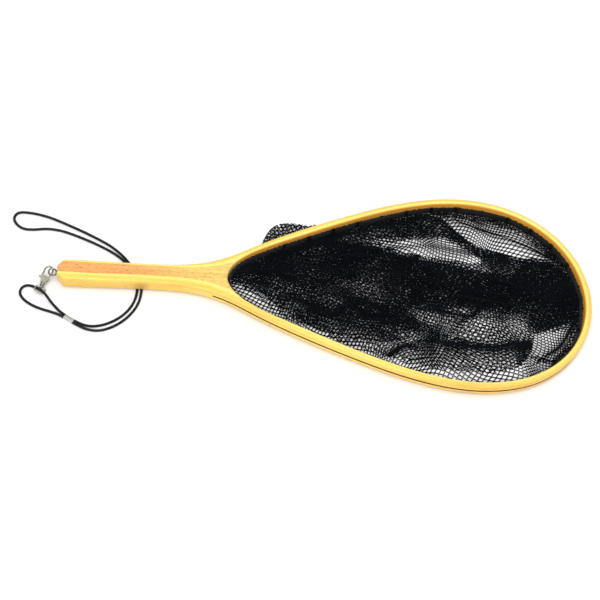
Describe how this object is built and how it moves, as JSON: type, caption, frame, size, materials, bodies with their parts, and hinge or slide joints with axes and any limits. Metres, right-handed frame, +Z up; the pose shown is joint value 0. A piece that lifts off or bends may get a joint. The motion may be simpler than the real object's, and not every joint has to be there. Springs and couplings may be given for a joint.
{
  "type": "landing net",
  "caption": "Wooden hand landing net: laminated teardrop hoop and handle, laced mesh bag, screw eye with swivel snap clasp, and elastic lanyard.",
  "frame": {"origin": "on the surface that the net lies on, under the middle of the net and its clasp", "axes": "+X along the net from the handle's butt to the hoop's tip, +Z up out of the hoop's mouth, +Y across the hoop away from the clasp"},
  "size_m": [0.6231, 0.2446, 0.0175],
  "materials": {
    "core_wood": "satin",
    "inner_wood": "satin",
    "outer_wood": "satin",
    "net_black": "matt",
    "lacing_black": "matt",
    "nickel": "polished",
    "spring_steel": "drawn",
    "cord_black": "braided"
  },
  "bodies": {
    "net": {"handle_core": "core_wood", "inner_lamination": "inner_wood", "outer_lamination": "outer_wood", "lacing_cord": "lacing_black", "lacing_stitches": "lacing_black", "mouth_tape": "net_black", "net_bag": "net_black", "screw_eye": "nickel", "lanyard_clip_loop": "cord_black", "lanyard_wrist_loop": "cord_black", "crimp_sleeve": "nickel"},
    "clasp": {"clasp_hook": "nickel", "gate_pin": "nickel", "gate_spring": "spring_steel"},
    "gate": {"gate_lever": "nickel"},
    "swivel": {"swivel_bail": "nickel", "swivel_rivet": "nickel"}
  },
  "joints": [
    {"name": "clasp_swing", "type": "hinge", "parent": "net", "child": "clasp", "pos_m": [-0.2789, 0, 0.01025], "axis": [0, -0.848, 0.5299], "range_deg": [-60, 40], "deforming": ["lanyard_clip_loop"]},
    {"name": "gate_open", "type": "hinge", "parent": "clasp", "child": "gate", "pos_m": [-0.28647, -0.00801, 0.00733], "axis": [-0.0988, -0.2573, 0.9613], "range_deg": [0, 18], "stiffness_Nm_per_rad": 0.02, "springref_deg": -14.32},
    {"name": "swivel_turn", "type": "hinge", "parent": "clasp", "child": "swivel", "pos_m": [-0.28379, -0.00101, 0.00948], "axis": [-0.3445, -0.8974, -0.2756], "continuous": true, "deforming": ["lanyard_clip_loop"]}
  ]
}
